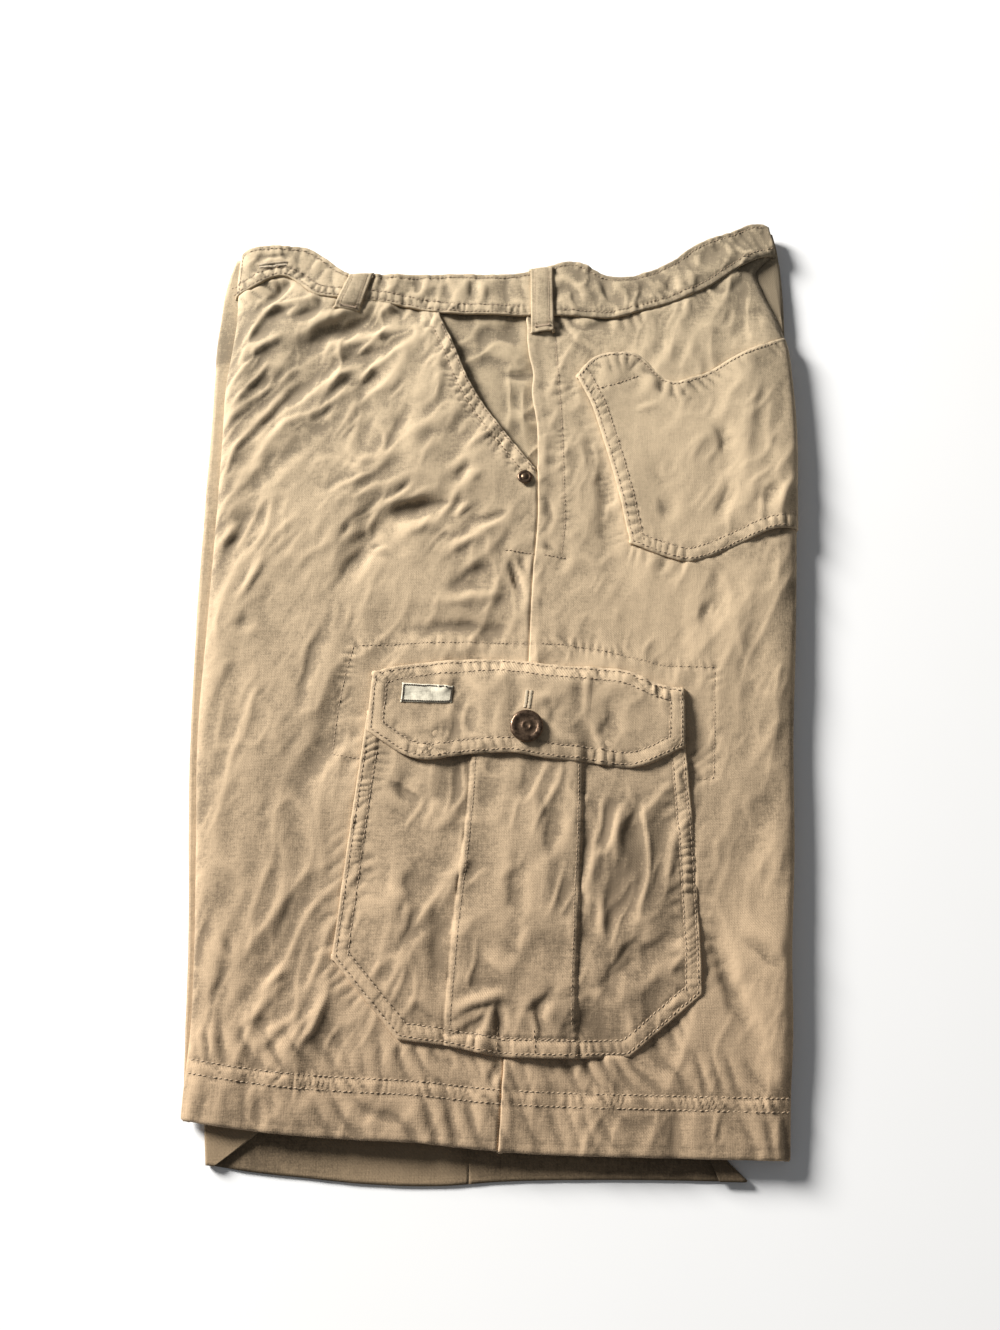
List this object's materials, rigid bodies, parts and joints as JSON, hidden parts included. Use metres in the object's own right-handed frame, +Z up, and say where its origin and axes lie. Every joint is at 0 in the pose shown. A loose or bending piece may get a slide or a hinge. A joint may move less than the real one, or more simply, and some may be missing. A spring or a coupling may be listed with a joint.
{
  "type": "folded cargo shorts",
  "caption": "Cotton twill cargo shorts folded lengthwise and laid flat, with slant, patch and flapped bellows pockets, belt loops and a tack button.",
  "frame": {"origin": "middle of the bounding box in plan, on the surface that the shorts lie on", "axes": "+X from the front fold to the back fold, +Y from the hems to the waist, +Z up from the surface"},
  "size_m": [0.4059, 0.6404, 0.0251],
  "materials": {
    "twill": "washed khaki cotton twill, matt with a faint diagonal rib",
    "twill_inside": "wrong side of the twill, matt and darker",
    "tape": "cream woven tape with a dark edge",
    "bronze": "dark antiqued brass, worn bright on its high edges"
  },
  "bodies": {
    "root": {"hidden_layers": "twill", "under_front_hem": "twill_inside", "under_back_hem": "twill_inside", "front_panel": "twill", "back_panel": "twill", "pocket_facing": "twill", "waistband": "twill", "belt_loop_front": "twill", "belt_loop_side": "twill", "back_pocket": "twill", "cargo_pocket": "twill", "cargo_flap": "twill", "label": "tape", "tack_button": "bronze", "rivet": "bronze"}
  },
  "joints": []
}
